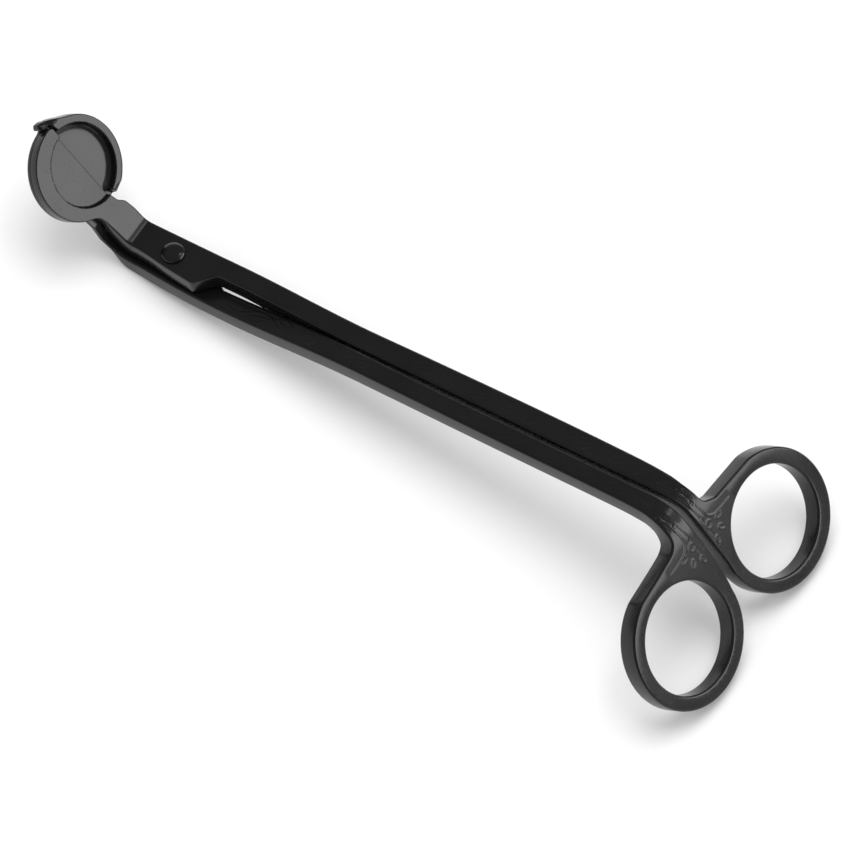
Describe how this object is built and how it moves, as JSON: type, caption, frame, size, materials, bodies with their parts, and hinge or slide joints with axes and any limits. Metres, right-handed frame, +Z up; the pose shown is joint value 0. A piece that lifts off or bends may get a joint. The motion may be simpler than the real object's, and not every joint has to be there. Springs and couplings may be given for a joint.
{
  "type": "wick trimmer",
  "caption": "Scissor-type candle wick trimmer: long crossed arms bent at both ends, finger rings, and an angled round tray with a half-disc blade that cuts the wick and catches the end.",
  "frame": {"origin": "middle of the footprint, at the level the object lies on", "axes": "+X from the finger rings towards the head, +Y towards the tray arm's ring, +Z up"},
  "size_m": [0.1702, 0.059, 0.028],
  "materials": {
    "tray_arm_coat": "glossy black coat over steel",
    "blade_arm_coat": "glossy black coat over steel",
    "rivet_coat": "glossy black coat over steel",
    "washer_coat": "satin black coat over steel"
  },
  "bodies": {
    "tray_side": {"tray_arm": "tray_arm_coat", "pivot_rivet": "rivet_coat", "tail_washer": "washer_coat"},
    "blade_side": {"blade_arm": "blade_arm_coat"}
  },
  "joints": [
    {"name": "pivot_hinge", "type": "hinge", "parent": "tray_side", "child": "blade_side", "pos_m": [0.05229, -0.00185, 0.00721], "axis": [0.1762, 0, 0.9843], "range_deg": [0, 35]}
  ]
}
